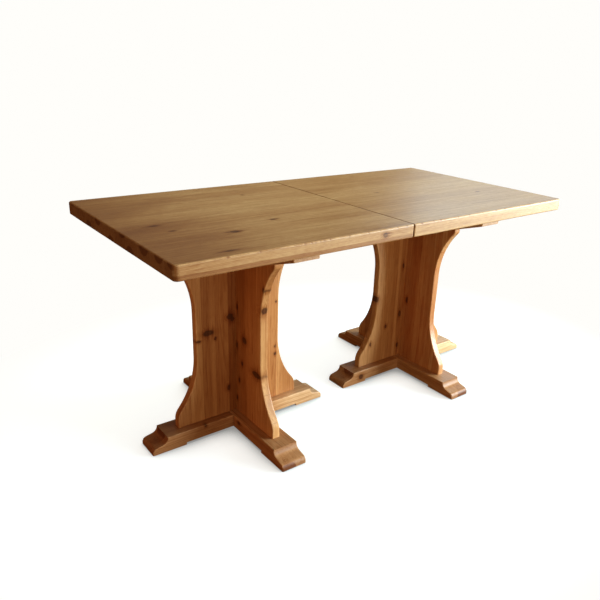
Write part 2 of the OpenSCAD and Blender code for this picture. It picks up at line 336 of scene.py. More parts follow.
def add_turned(bm, profile, segments, place, flute=0.0):
    """Adds a closed body of revolution about Z. The profile is (radius, z) from its low end to its high
    end. flute pulls every second segment in, by that share of the radius."""
    rings = []
    for radius, z in profile:
        verts = []
        for i in range(segments):
            angle = 2 * math.pi * i / segments
            r = radius * (1 - flute * (i % 2))
            verts.append(bm.verts.new(place @ Vector((r * math.cos(angle), r * math.sin(angle), z))))
        rings.append(verts)
    for lower, upper in zip(rings, rings[1:]):
        for i in range(segments):
            bm.faces.new((lower[i - 1], lower[i], upper[i], upper[i - 1]))
    bm.faces.new(rings[0][::-1])
    bm.faces.new(rings[-1])


def add_block(bm, low, high):
    """Adds a closed box to a mesh that cuts or joins."""
    corners = [Vector((x, y, z)) for z in (low[2], high[2]) for x, y in
               ((low[0], low[1]), (high[0], low[1]), (high[0], high[1]), (low[0], high[1]))]
    verts = [bm.verts.new(c) for c in corners]
    for face in ((3, 2, 1, 0), (4, 5, 6, 7), (0, 1, 5, 4), (1, 2, 6, 5), (2, 3, 7, 6), (3, 0, 4, 7)):
        bm.faces.new([verts[i] for i in face])


def combined(piece, tool_bm, operation):
    """Cuts the tool mesh from the piece, or joins it on, and frees the tool."""
    mesh = bpy.data.meshes.new("tool")
    bmesh.ops.recalc_face_normals(tool_bm, faces=tool_bm.faces)
    tool_bm.to_mesh(mesh)
    tool_bm.free()
    tool = object_from("tool", mesh)
    step = piece.modifiers.new("tool", "BOOLEAN")
    step.operation = operation
    step.solver = "MANIFOLD"
    step.object = tool
    depsgraph = bpy.context.evaluated_depsgraph_get()
    result = bpy.data.meshes.new_from_object(piece.evaluated_get(depsgraph), depsgraph=depsgraph)
    piece.modifiers.clear()
    old = piece.data
    piece.data = result
    result.name = piece.name
    bpy.data.meshes.remove(old)
    bpy.data.objects.remove(tool)
    bpy.data.meshes.remove(mesh)


def from_head(low, high, head_low):
    """Puts a profile that starts at a screw's head in the screw's box, with its shaft upwards or down."""
    centre = (low + high) / 2
    if head_low:
        return Matrix.Translation((centre.x, centre.y, low.z))
    return Matrix.Translation((centre.x, centre.y, high.z)) @ Matrix.Rotation(math.pi, 4, "X")


def lying(low, high, axis):
    """Lays a profile along X (axis 0) or Y (axis 1) with its middle in the middle of a dowel's box."""
    return Matrix.Translation((low + high) / 2) @ Matrix.Rotation(math.pi / 2, 4, "YX"[axis])


def screw_holes(half, *kinds):
    """The holes of a half's screws: cones for the heads and straight holes for the shafts."""
    bm = bmesh.new()
    for kind in kinds:
        shaft_r, head_low = SCREWS[kind]
        for low, high in solids(f"{half}_{kind}_screws"):
            head_r = (high.x - low.x) / 2 + 3 * FIT_GAP
            hole_r = shaft_r + FIT_GAP
            length = high.z - low.z + FIT_GAP
            profile = [(head_r, -FIT_GAP), (hole_r, HEAD_DEPTH), (hole_r, length)]
            add_turned(bm, profile, 20, from_head(low, high, head_low))
    return bm


def add_dowel_holes(bm, node, axis, gap, longer):
    """Adds the holes of a node's dowels, which lie along X or Y."""
    for low, high in solids(node):
        radius = (high.z - low.z) / 2 + gap
        half = (high[axis] - low[axis]) / 2 + longer
        add_turned(bm, [(radius, -half), (radius, half)], 24, lying(low, high, axis))


def shade(piece, angle=35):
    """Smooth shading, broken at edges sharper than the angle."""
    bm = bmesh.new()
    bm.from_mesh(piece.data)
    for face in bm.faces:
        face.smooth = True
    limit = math.radians(angle)
    for edge in bm.edges:
        edge.smooth = edge.is_manifold and edge.calc_face_angle(0) < limit
    bm.to_mesh(piece.data)
    bm.free()


# ---- Wooden pieces ----


def finished(piece, node, material):
    """Makes the piece stand for a CAD node: the same body and its material."""
    shade(piece)
    piece.data.materials.clear()
    piece.data.materials.append(material)
    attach(piece, nodes[node]["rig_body"])
    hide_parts(node)


def placed(centre, along):
    """Puts a board's (length, height, thickness) at a pedestal, along the table or across it."""
    if along == "long":
        return lambda u, z, t: Vector((centre + u, t, z))
    return lambda u, z, t: Vector((centre + t, u, z))


def centre_of(half):
    low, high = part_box(half + "_cross_foot")
    return (low.x + high.x) / 2


# Small dents along the front arris of the tops: (place along X, length, depth)
DENTS = {
    "left": (
        (-0.418, 0.012, 0.0012), (-0.396, 0.007, 0.0016), (-0.383, 0.010, 0.0012), (-0.366, 0.006, 0.0018),
        (-0.352, 0.014, 0.0012), (-0.331, 0.006, 0.0014), (-0.262, 0.008, 0.0012), (-0.187, 0.010, 0.0010),
        (-0.142, 0.006, 0.0016), (-0.071, 0.009, 0.0012), (-0.032, 0.012, 0.0014), (-0.655, 0.010, 0.0010),
        (-0.560, 0.008, 0.0010)),
    "right": (
        (0.034, 0.010, 0.0012), (0.088, 0.007, 0.0016), (0.121, 0.012, 0.0012), (0.205, 0.008, 0.0012),
        (0.262, 0.009, 0.0016), (0.331, 0.007, 0.0012), (0.404, 0.014, 0.0014), (0.452, 0.006, 0.0012),
        (0.537, 0.010, 0.0016), (0.601, 0.008, 0.0012), (0.664, 0.009, 0.0010), (0.731, 0.006, 0.0014)),
}
DENT_REACH = 6 * MM
DENT_PUSH = 0.35       # how far the wood goes in, as a share of a dent's depth
DENT_ROUGHNESS = 600   # in waves per metre


def dented(piece, half, front, upper):
    """Pushes the wood in at each dent of the front arris, which runs along X at y front, z upper."""
    # How far into a dent each point lies, which the wood's material darkens as painted shade
    depths = piece.data.attributes.new("dent", "FLOAT", "POINT")
    for vert in piece.data.vertices:
        across = math.hypot(vert.co.y - front, upper - vert.co.z)
        if across > DENT_REACH:
            continue
        for place, length, depth in DENTS[half]:
            along = abs(vert.co.x - place) / (length / 2)
            if along < 1:
                rough = 0.75 + 0.5 * noise.noise(vert.co * DENT_ROUGHNESS)
                share = (1 - along ** 2) * (1 - (across / DENT_REACH) ** 2)
                push = DENT_PUSH * depth * rough * share
                depths.data[vert.index].value = share
                vert.co += Vector((0, push * 0.7, -push * 0.7))


def make_top(half, material):
    node = half + "_top"
    low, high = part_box(node)
    if half == "left":
        radii = (SEAM_CORNER_R, SEAM_CORNER_R, TOP_CORNER_R, TOP_CORNER_R)
        roundings = (TOP_ARRIS, SEAM_ARRIS, TOP_ARRIS, TOP_ARRIS)
    else:
        radii = (TOP_CORNER_R, TOP_CORNER_R, SEAM_CORNER_R, SEAM_CORNER_R)
        roundings = (TOP_ARRIS, TOP_ARRIS, TOP_ARRIS, SEAM_ARRIS)
    outline = with_more_points(rectangle(low, high, radii, roundings), CHIP_SPACING)
    piece = rounded_prism(node + "_board", outline, low.z, high.z, lambda x, y, h: Vector((x, y, h)), 0.7)
    dented(piece, half, low.y, high.z)
    holes = screw_holes(half, "top", "runner")
    add_dowel_holes(holes, "seam_dowels", 0, 2 * FIT_GAP, SEAM_HOLE_SPARE if half == "right" else FIT_GAP)
    combined(piece, holes, "DIFFERENCE")
    finished(piece, node, material)


def make_timber(half, along, kind, material):
    """A foot or a bearer, along the table or across it."""
    node = f"{half}_{along}_{kind}"
    low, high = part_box(node)
    axis = 0 if along == "long" else 1
    length, width = high[axis] - low[axis], high[1 - axis] - low[1 - axis]
    if kind == "foot":
        outline = foot_outline(length / 2, high.z, width / 2, along == "long")
        holes = screw_holes(half, "foot")
    else:
        outline = bearer_outline(length / 2, low.z, high.z, width / 2, along == "long")
        holes = screw_holes(half, "top", "panel")
    place = placed(centre_of(half), along)
    piece = rounded_prism(node + "_timber", with_more_points(outline), -width / 2, width / 2, place)
    combined(piece, holes, "DIFFERENCE")
    finished(piece, node, material)


def make_panel(half, which, material):
    node = f"{half}_{which}_panel"
    low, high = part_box(node)
    long_low, long_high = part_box(half + "_long_panel")
    thickness = long_high.y - long_low.y
    if which == "long":
        outline = with_mirror(panel_edge((high.x - low.x) / 2, low.z, high.z), 0)
        place = placed(centre_of(half), "long")
    else:
        side = -1 if which == "front" else 1
        edge = panel_edge(max(abs(low.y), abs(high.y)), low.z, high.z)
        outline = [(thickness / 2, low.z, 0)] + edge + [(thickness / 2, high.z, 0)]
        across = placed(centre_of(half), "cross")

        def place(u, z, t):
            return across(side * u, z, t)

    piece = rounded_prism(node + "_board", with_more_points(outline), -thickness / 2, thickness / 2, place)
    holes = screw_holes(half, "foot", "panel")
    add_dowel_holes(holes, half + "_panel_dowels", 1, FIT_GAP, FIT_GAP)
    combined(piece, holes, "DIFFERENCE")
    finished(piece, node, material)


def make_runner(half, end, material):
    """A grooved runner on the left half, or a tongued one on the right half."""
    node = f"{half}_{end}_runner"
    low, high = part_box(node)
    side = -1 if end == "front" else 1
    inner = min(abs(low.y), abs(high.y))
    outer = max(abs(low.y), abs(high.y))
    grooved = half == "left"
    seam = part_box("left_top")[1].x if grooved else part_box("right_top")[0].x
    width = outer - inner if grooved else outer - inner - GROOVE_DEPTH
    relief = high.z - SLIDE_GAP
    if grooved:
        upper = [(high.x, relief, 0), (seam, relief, 0), (seam, high.z, 0), (low.x, high.z, ARRIS)]
    else:
        upper = [(high.x, high.z, 0), (seam, high.z, 0), (seam, relief, 0), (low.x, relief, ARRIS)]
    lower = [(low.x, low.z, FLOOR_ARRIS), (high.x, low.z, FLOOR_ARRIS)]
    outline = with_more_points(lower + upper)

    def place(x, z, t):
        return Vector((x, side * t, z))

    piece = rounded_prism(node + "_bar", outline, inner, inner + width, place)
    middle = (low.z + high.z) / 2
    block = bmesh.new()
    if grooved:
        half_h = GROOVE_H / 2
        y0, y1 = sorted((side * (inner - OVERCUT), side * (inner + GROOVE_DEPTH)))
        add_block(block, (low.x - OVERCUT, y0, middle - half_h), (GROOVE_STOP, y1, middle + half_h))
    else:
        half_h = GROOVE_H / 2 - SLIDE_GAP
        y0, y1 = sorted((side * (inner + width - OVERCUT), side * outer))
        add_block(block, (low.x, y0, middle - half_h), (low.x + TONGUE_L, y1, middle + half_h))
    combined(piece, block, "DIFFERENCE" if grooved else "UNION")
    combined(piece, screw_holes(half, "runner"), "DIFFERENCE")
    finished(piece, node, material)

# ---- Shader graphs ----


def tint(r, g, b):
    return (r, g, b, 1.0)


def arithmetic(operation, swapped=False):
    """A method that makes a math node from a value and another value or number."""
    def method(self, other):
        pair = (other, self) if swapped else (self, other)
        return self.graph.math(operation, *pair)
    return method


class Value:
    """A number that comes out of a node. Arithmetic on it makes more nodes."""

    def __init__(self, graph, socket):
        self.graph = graph
        self.socket = socket

    __add__, __radd__ = arithmetic("ADD"), arithmetic("ADD", True)
    __sub__, __rsub__ = arithmetic("SUBTRACT"), arithmetic("SUBTRACT", True)
    __mul__, __rmul__ = arithmetic("MULTIPLY"), arithmetic("MULTIPLY", True)
    __truediv__ = arithmetic("DIVIDE")
    __pow__ = arithmetic("POWER")


class Graph:
    """One material's nodes, with a short call for each kind that the materials below use. Numbers come
    back as Values, and vectors, colours and shaders as sockets."""

    def __init__(self, name):
        self.material = bpy.data.materials.new(name)
        self.material.use_nodes = True
        self.tree = self.material.node_tree
        self.shader = self.tree.nodes["Principled BSDF"]

    def put(self, value, socket):
        if isinstance(value, Value):
            value = value.socket
        if isinstance(value, bpy.types.NodeSocket):
            self.tree.links.new(value, socket)
        elif value is not None:
            socket.default_value = value

    def node(self, kind, *inputs, **settings):
        """A node with its first inputs given in order."""
        made = self.tree.nodes.new("ShaderNode" + kind)
        for key, value in settings.items():
            setattr(made, key, value)
        for socket, value in zip(made.inputs, inputs):
            self.put(value, socket)
        return made

    def fed(self, kind, inputs, **settings):
        """A node with inputs given by name."""
        made = self.node(kind, **settings)
        for name, value in inputs.items():
            self.put(value, made.inputs[name])
        return made

    def math(self, operation, a, b=None):
        return Value(self, self.node("Math", a, b, operation=operation).outputs[0])

    def vector(self, operation, a, b):
        return self.node("VectorMath", a, b, operation=operation).outputs["Vector"]

    def length(self, vector):
        return Value(self, self.node("VectorMath", vector, operation="LENGTH").outputs["Value"])

    def xyz(self, x, y, z):
        return self.node("CombineXYZ", x, y, z).outputs[0]

    def split(self, vector):
        return [Value(self, socket) for socket in self.node("SeparateXYZ", vector).outputs]

    def place(self, kind="Object"):
        """The shaded point's place or normal, in the object's own coordinates."""
        return self.node("TexCoord").outputs[kind]

    def painted(self, name):
        """A number that the mesh holds at each vertex."""
        return Value(self, self.node("Attribute", attribute_name=name).outputs["Fac"])

    def step(self, value, start, end, low=0.0, high=1.0):
        """A smooth step from low to high as the value goes from start to end."""
        made = self.node("MapRange", value, start, end, low, high, interpolation_type="SMOOTHSTEP")
        return Value(self, made.outputs[0])

    def noise(self, vector, scale=1.0, detail=2.0, roughness=0.5):
        inputs = {"Vector": vector, "Scale": scale, "Detail": detail, "Roughness": roughness}
        return Value(self, self.fed("TexNoise", inputs).outputs[0])

    def wobble(self, vector, scale, reach):
        """A vector that wanders with the place, by half of the reach each way."""
        made = self.fed("TexNoise", {"Vector": vector, "Scale": scale})
        moved = self.vector("SUBTRACT", made.outputs["Color"], (0.5, 0.5, 0.5))
        return self.vector("MULTIPLY", moved, (reach, reach, reach))

    def wave(self, place, detail=1.0):
        """Noise along one number, from -1 to 1."""
        inputs = {"W": place, "Scale": 1.0, "Detail": detail}
        made = self.fed("TexNoise", inputs, noise_dimensions="1D")
        return Value(self, made.outputs[0]) * 2.0 - 1.0

    def mix(self, amount, a, b, blend="MIX"):
        """A colour between two colours."""
        made = self.node("Mix", amount, data_type="RGBA", blend_type=blend, clamp_factor=True)
        self.put(a, made.inputs[6])
        self.put(b, made.inputs[7])
        return made.outputs[2]

    def multiplied(self, a, b):
        return self.mix(1.0, a, b, "MULTIPLY")

    def steps(self, number, tones):
        """The tone listed for a whole number. tones starts with the number that its first tone is for."""
        first, listed = tones[0], tones[1:]
        count = len(listed)
        made = self.node("ValToRGB")
        ramp = made.color_ramp
        ramp.interpolation = "CONSTANT"
        while len(ramp.elements) < count + 1:
            ramp.elements.new(1.0)
        for i, tone in enumerate(listed + (1.0,)):
            ramp.elements[i].position = i / (count + 1)
            ramp.elements[i].color = tint(tone / 2, tone / 2, tone / 2)
        place = (number + (0.5 - first)) / (count + 1)
        self.put(self.math("MAXIMUM", place, 0.0), made.inputs["Fac"])
        return self.math("MULTIPLY", made.outputs["Color"], 2.0)

    def colour(self, red, green, blue):
        """A colour from three numbers."""
        return self.node("CombineColor", red, green, blue).outputs[0]

    def finish(self, colour, roughness, height, bump_reach, bump_strength):
        inputs = {"Height": height, "Distance": bump_reach, "Strength": bump_strength}
        self.put(colour, self.shader.inputs["Base Color"])
        self.put(roughness, self.shader.inputs["Roughness"])
        self.put(self.fed("Bump", inputs).outputs[0], self.shader.inputs["Normal"])
        return self.material


# ---- Wood ----

LACQUER_ROUGHNESS = 0.38
STAVE_SPREAD = 0.12         # how far the tones of unlisted staves go either way
ONE_PIECE = 10.0            # width of the only stave of a board that isn't glued up

KNOT_DARK = tint(0.032, 0.009, 0.003)
KNOT_PALE = tint(0.100, 0.028, 0.007)
KNOT_RIM = tint(0.026, 0.007, 0.002)
# Bare wood on worn arrises, paler than wear alone as a painted highlight
BARE_WOOD_AND_HIGHLIGHT = tint(0.84, 0.62, 0.31)


@dataclass
class Wood:
    """What one kind of board looks like."""
    colour: tuple
    stave: float = 0.0          # width of the strips that it is glued up from, or 0
    joint: float = 0.0          # where one of their joints lies, across the board
    ring: float = 2.9 * MM      # width of a year
    contrast: float = 0.30      # how much darker latewood is
    heart: float = 0.18         # how much darker heartwood is
    mottle: float = 0.16
    knot_share: float = 0.3     # how many places have a small knot
    torn: float = 0.4           # how torn the knots and the fibres round them are
    stain: tuple = (1.6, 2.2)   # powers by which green and blue fall as the tone falls
    end_stain: tuple = (0.78, 0.75, 0.75)


TOP_PINE = Wood(tint(0.50, 0.325, 0.150), 82 * MM, -17 * MM, heart=0.08, mottle=0.36, knot_share=0.0,
                torn=1.0, end_stain=(0.77, 1.02, 1.32))
PANEL_PINE = Wood(tint(0.55, 0.290, 0.110), 49 * MM, 7 * MM, contrast=0.22)
# Pine for the right front panel, redder as it darkens: painted shade for its side that lies in shade
RED_SHADED_PANEL_PINE = Wood(tint(0.585, 0.315, 0.13), 49 * MM, 7 * MM, contrast=0.20, stain=(2.1, 2.9))
FOOT_PINE = Wood(tint(0.52, 0.290, 0.130))
BEARER_PINE = Wood(tint(0.54, 0.33, 0.16))
BEECH = Wood(tint(0.52, 0.31, 0.16), ring=1.6 * MM, contrast=0.12, knot_share=0.0)

AXES = {"x": 0, "y": 1, "z": 2}

# Patterns in the wood: noise scale along the grain and across it, detail and roughness
FINE_FIBRES = (40.0, 1100.0, 2.0, 0.6)
FIBRES = (10.0, 190.0, 3.0, 0.6)
STREAKS = (2.0, 95.0, 4.0, 0.65)
MOTTLE = (50.0, 120.0, 2.0, 0.6)
CLOUDS = (3.0, 9.0, 3.0, 0.5)
RING_WAVES = (2.2, 9.0, 3.0, 0.55)


class Point:
    """Where the shaded point lies in its board, from the board's centre: u along the grain, v across
    the board and w through it. grain and across are axis letters."""

    def __init__(self, g, grain, across, centre):
        self.g = g
        self.place = g.place()
        xyz = g.split(g.vector("SUBTRACT", self.place, centre))
        self.u, self.v = xyz[AXES[grain]], xyz[AXES[across]]
        self.w = xyz[3 - AXES[grain] - AXES[across]]

    def noise(self, along, across, detail, roughness, shift=None):
        """Noise at one scale along the grain and at another across it."""
        side = self.v * across
        if shift is not None:
            side = side + shift
        return self.g.noise(self.g.xyz(self.u * along, side, self.w * across), 1.0, detail, roughness)


class Staves:
    """Which stave a point lies in, where in it, and the stave's own random values."""

    def __init__(self, at, wood, seed, tones):
        g = at.g
        width = wood.stave or ONE_PIECE
        joint = wood.joint if wood.stave else -width / 2
        count = (at.v - joint) / width
        number = g.math("FLOOR", count)
        share = g.math("FRACT", count)
        self.v = (share - 0.5) * width if wood.stave else at.v
        self.to_joint = g.math("MINIMUM", share, 1.0 - share) * width
        own = g.fed("TexWhiteNoise", {"W": number + (seed + 0.37)}, noise_dimensions="1D")
        self.a, self.b, self.c = g.split(own.outputs["Color"])
        self.shift = (number + seed) * 7.31
        self.tone = g.steps(number, tones) if tones else 1.0 + (self.b - 0.5) * (2 * STAVE_SPREAD)


class Knots:
    """How near a point is to a knot: 1 at its rim and less inside. Each knot has a centre and radii in
    metres, and torn fibres along the grain. A few small knots are strewn about as well."""

    def __init__(self, at, wood, grain, staves, knots):
        g = at.g
        near = g.vector("ADD", at.place, g.wobble(at.place, 90.0, 0.005))
        strewn = g.xyz(at.u * 3.1, at.v * 5.2 + staves.shift, 0.0)
        cells = g.fed("TexVoronoi", {"Vector": strewn, "Scale": 1.0}, voronoi_dimensions="2D")
        size = g.step(g.split(cells.outputs["Color"])[0], 1 - wood.knot_share, 1.0, 0.0001, 0.035)
        nearest = g.math("DIVIDE", cells.outputs["Distance"], size)
        longer = [0.18 if axis == grain else 0.6 for axis in AXES]
        torn = 9.0
        for centre, radii in knots:
            scaled = g.vector("DIVIDE", g.vector("SUBTRACT", near, centre), radii)
            nearest = g.math("MINIMUM", nearest, g.length(scaled))
            torn = g.math("MINIMUM", torn, g.length(g.vector("MULTIPLY", scaled, longer)))
        self.nearest = nearest
        self.torn = g.step(torn, 1.0, 0.35)
        self.core = g.step(nearest, 1.05, 0.85)
        self.rim = g.step(nearest, 1.5, 1.0) * g.step(nearest, 0.6, 0.95)
        self.halo = g.step(nearest, 3.2, 1.0)


def year_rings(at, wood, staves, knots):
    """Latewood, from 0 to 1, and the distance from the pith. The pith drifts along each stave, so that
    its rings show as lines and arches on the faces and as arcs on the ends."""
    g = at.g
    side = g.math("GREATER_THAN", staves.a, 0.5) * 2.0 - 1.0
    drift_v = g.wave(at.u * 1.1 + staves.shift) * 0.020
    drift_w = g.wave(at.u * 0.8 - staves.shift) * 0.010
    from_v = staves.v - ((staves.c - 0.5) * 0.05 + drift_v)
    from_w = at.w - side * (0.020 + staves.b * 0.024 + drift_w)
    radius = g.math("SQRT", from_v * from_v + from_w * from_w)
    waves = at.noise(*RING_WAVES, staves.shift)
    radius = radius + (waves - 0.5) * 0.010 + knots.halo * 0.007
    width = (0.75 + staves.c * 0.6) * wood.ring
    years = radius / width + g.wave(radius * 110.0 + staves.shift) * 0.7
    season = g.math("FRACT", years)
    late = g.step(season, 0.2, 0.9) * g.step(season, 1.0, 0.93)
    strength = g.wave(g.math("FLOOR", years) * 0.83 + staves.shift)
    return late * (0.6 + strength * 0.5), radius


class Pine:
    """Solid pine. centre is a point in the middle of the board, and marks changes the tone of some part of
    it:
    wood of another tone, and on some boards painted shade and painted highlights."""

    def __init__(self, name, wood, grain, across, centre, seed, knots=(), tones=(), marks=None):
        g = Graph(name)
        at = Point(g, grain, across, centre)
        self.g = g
        self.wood = wood
        self.staves = Staves(at, wood, seed, tones)
        self.knot = Knots(at, wood, grain, self.staves, knots)
        self.late, self.radius = year_rings(at, wood, self.staves, self.knot)
        facing = g.split(g.place("Normal"))[AXES[grain]]
        self.end = g.step(g.math("ABSOLUTE", facing), 0.6, 0.9)
        self.fine = at.noise(*FINE_FIBRES)
        self.streaks = at.noise(*STREAKS, self.staves.shift)
        self.fibres = at.noise(*FIBRES)
        self.mottle = at.noise(*MOTTLE)
        self.clouds = at.noise(*CLOUDS)
        self.hollows = g.noise(at.place, 14.0, 2.0, 0.5)
        self.marked = marks(at, self.clouds) if marks else 1.0
        # Worn arrises: bare wood, with a painted highlight along them
        worn = g.step(g.noise(at.place, 38.0, 3.0, 0.6), 0.35, 0.65)
        self.worn_edge_and_highlight = g.step(g.painted("arris"), 0.1, 0.9) * worn * g.step(self.marked, 0.5, 0.8)

    def tone(self):
        """How pale the wood is. 1 is plain wood, and less has more stain and resin in it."""
        g, wood, knot = self.g, self.wood, self.knot
        heart = g.step(self.radius + (self.streaks - 0.5) * 0.012, 0.036, 0.026)
        tone = self.staves.tone * (1.0 - self.late * wood.contrast)
        tone *= 1.03 - heart * wood.heart
        tone *= 1.0 + (self.streaks - 0.5) * 0.62
        tone *= 1.0 - g.step(self.fibres, 0.54, 0.68) * 0.20
        tone *= 1.0 + (self.mottle - 0.5) * wood.mottle
        tone *= 1.0 - knot.torn * g.step(self.fibres, 0.44, 0.58) * (0.7 * wood.torn)
        tone *= 1.0 + (self.fine - 0.5) * 0.24
        tone *= 1.0 + (self.clouds - 0.5) * 0.28
        tone *= 1.0 - knot.halo * 0.28
        tone *= self.marked
        if wood.stave:
            glue = g.step(self.staves.to_joint, 1.0 * MM, 0.2 * MM)
            tone *= 1.0 + glue * (self.end * 0.65 - 0.20)
        tone *= 1.0 - self.end * (g.step(self.radius, 0.031, 0.029) * 0.42)
        # Painted shade in the dents of the front arris
        return tone * (1.0 - g.painted("dent") * 0.5)

    def colour(self):
        """The wood's colour, redder as its tone falls, with knots, and with bare wood and a painted
        highlight on worn edges.
        """
        g, wood, knot = self.g, self.wood, self.knot
        tone = self.tone()
        colour = g.multiplied(wood.colour, g.colour(tone, tone ** wood.stain[0], tone ** wood.stain[1]))
        colour = g.mix(self.end, colour, g.multiplied(colour, tint(*wood.end_stain)))
        turns = g.math("SINE", knot.nearest * 17.0)
        knot_colour = g.mix(0.5 + turns * 0.35, KNOT_DARK, KNOT_PALE)
        ragged = g.step(self.fibres, 0.38, 0.56, 0.97 - 0.45 * wood.torn, 0.97 - 0.15 * wood.torn)
        colour = g.mix(knot.core * ragged, colour, knot_colour)
        colour = g.mix(knot.rim * (ragged * 0.7), colour, KNOT_RIM)
        return g.mix(self.worn_edge_and_highlight * 0.5, colour, g.mix(0.6, colour, BARE_WOOD_AND_HIGHLIGHT))

    def material(self):
        knot = self.knot
        gloss = LACQUER_ROUGHNESS + (self.clouds - 0.5) * 0.18 + (self.fine - 0.5) * 0.10
        gloss = gloss + self.late * -0.04 + self.end * 0.16 + self.worn_edge_and_highlight * 0.10
        height = self.late * 0.5 + self.fine * 0.4 - knot.rim * 0.6 + knot.core * 0.4 + self.hollows * 0.9
        return self.g.finish(self.colour(), gloss, height, 0.5 * MM, 0.28)


# ---- Marks: tones for some part of a board, with painted shade and highlights among them ----

# From a top's middle to where the dirt beside the seam starts, and to where it is full
SEAM_DIRT = (397.0 * MM, 398.8 * MM)


def left_top_marks(at, clouds):
    """A red heartwood stripe low on the front edge, wood that darkens to the left, and the seam's dirt."""
    g = at.g
    front = g.step(at.v, -0.385, -0.392)
    stripe = front * g.step(at.w + g.wave(at.u * 4.0, 3.0) * 0.003, -0.0055, -0.0080)
    darker = g.step(at.u + (clouds - 0.5) * 0.3, 0.0, -0.42) * (1.0 - front * 0.6)
    return 1.0 - (stripe * 0.30 + (darker * 0.39 + g.step(at.u, *SEAM_DIRT) * 0.55))


def right_top_marks(at, clouds):
    """Dirt in the narrow gap beside the left half."""
    start, full = SEAM_DIRT
    return 1.0 - at.g.step(at.u, -start, -full) * 0.55


def foot_tone_and_painted_highlight(base, amount):
    """A tone for the whole foot, and a painted highlight: paler towards its right end, which the key light
    falls on.
    """
    def marks(at, clouds):
        return base + at.g.step(at.u + clouds * 0.1, 0.12, 0.28) * amount
    return marks


def left_long_painted_shade(at, clouds):
    """Painted shade: darker down by the foot."""
    return 1.0 - at.g.step(at.u, 0.32, 0.14) * 0.14


def pale_front(at, clouds):
    """A panel's front stave is sapwood."""
    return 1.0 + at.g.step(at.v, -0.135, -0.150) * 0.10


def pale_front_and_painted_shade(at, clouds):
    """A pale front stave, and painted shade: darker up under the top."""
    return pale_front(at, clouds) * (1.0 - at.g.step(at.u, 0.36, 0.62) * 0.25)


MARKS = {
    "left_top": left_top_marks,
    "right_top": right_top_marks,
    "left_long_foot": foot_tone_and_painted_highlight(0.86, 0.50),
    "left_cross_foot": foot_tone_and_painted_highlight(0.92, 0.0),
    "right_long_foot": foot_tone_and_painted_highlight(0.93, 0.62),
    "left_long_panel": left_long_painted_shade,
    "left_front_panel": pale_front_and_painted_shade,
    "right_front_panel": pale_front,
}

# Tones of the staves, each list from one number on. The others stay at 1
TONES = {
    "left_top": (-5, 0.94, 1.04, 0.97, 0.99, 0.92, 1.05, 1.06, 1.0, 0.89, 1.02),
    "right_top": (-5, 1.0, 1.02, 0.95, 0.98, 1.01, 1.03, 1.02, 1.0, 0.94, 0.98),
    # Stave -1, in the corner by the cross panels, is darker as its own tone and as painted shade in that
    # corner
    "left_long_panel": (-5, 1.0, 1.12, 1.0, 0.78, 0.54, 1.0, 1.0, 0.85, 1.15, 1.1),
    "left_front_panel": (-5, 1.05, 1.05, 1.0, 0.95, 0.85, 1.0),
    "right_long_panel": (-5, 1.05, 1.08, 1.0, 1.03, 0.86, 1.0),
    # The right front panel's staves are all darker: painted shade, as its side lies in shade
    "right_front_panel": (-7, 0.86, 0.88, 0.94, 0.83, 0.87, 0.86, 0.84, 0.90),
}


def in_top(*rows):
    """Knots right through a top. Each row is x, y and the radii along them."""
    return [((x, y, 0.74), (along_x, along_y, 0.2)) for x, y, along_x, along_y in rows]


def in_long_panel(*rows):
    """Knots right through a panel along the table. Each row is x, z and the radii along them."""
    return [((x, 0, z), (wide, 0.1, tall)) for x, z, wide, tall in rows]


def in_left_cross_panel(*rows):
    """Knots right through a panel across the left pedestal. Each row is y, z and the radii along them."""
    return [((-0.4, y, z), (0.1, wide, tall)) for y, z, wide, tall in rows]


KNOTS = {
    "left_top": [
        *in_top((-0.690, -0.037, 0.009, 0.006), (-0.668, -0.113, 0.005, 0.0035),
                (-0.522, -0.203, 0.010, 0.008), (-0.346, -0.134, 0.006, 0.005),
                (-0.628, -0.358, 0.011, 0.0045), (-0.244, 0.220, 0.004, 0.0045)),
        ((-0.122, -0.400, 0.742), (0.008, 0.060, 0.0065))],
    "right_top": in_top((0.229, 0.025, 0.007, 0.0025), (0.610, -0.150, 0.004, 0.004)),
    "left_long_panel": in_long_panel(
        (-0.517, 0.372, 0.017, 0.008), (-0.491, 0.346, 0.004, 0.005), (-0.553, 0.349, 0.007, 0.004),
        (-0.435, 0.413, 0.010, 0.008), (-0.426, 0.402, 0.006, 0.007), (-0.444, 0.147, 0.005, 0.009),
        (-0.253, 0.256, 0.003, 0.004), (-0.252, 0.226, 0.004, 0.005), (-0.251, 0.428, 0.003, 0.003)),
    "left_front_panel": [
        *in_left_cross_panel((-0.026, 0.447, 0.004, 0.009), (-0.071, 0.341, 0.011, 0.010),
                             (-0.023, 0.307, 0.004, 0.009), (-0.055, 0.249, 0.005, 0.006),
                             (-0.146, 0.245, 0.022, 0.009), (-0.036, 0.177, 0.004, 0.007),
                             (-0.021, 0.102, 0.004, 0.007), (-0.185, 0.556, 0.004, 0.007)),
        ((-0.4, -0.170, 0.479), (0.009, 0.012, 0.010))],
    "right_long_panel": in_long_panel(
        (0.238, 0.333, 0.008, 0.010), (0.372, 0.454, 0.004, 0.009), (0.374, 0.243, 0.006, 0.012),
        (0.298, 0.202, 0.005, 0.007), (0.219, 0.140, 0.004, 0.008), (0.375, 0.099, 0.005, 0.009)),
    "left_long_foot": [((-0.553, -0.046, 0.048), (0.004, 0.010, 0.004))],
    "left_cross_foot": [((-0.446, -0.083, 0.039), (0.010, 0.006, 0.005))],
    "right_long_foot": [((0.149, -0.046, 0.026), (0.009, 0.020, 0.009))],
}

# ---- Plated steel ----

SCRATCHED_ZINC = tint(0.85, 0.83, 0.79)
RUBBED_ZINC = tint(0.78, 0.76, 0.72)


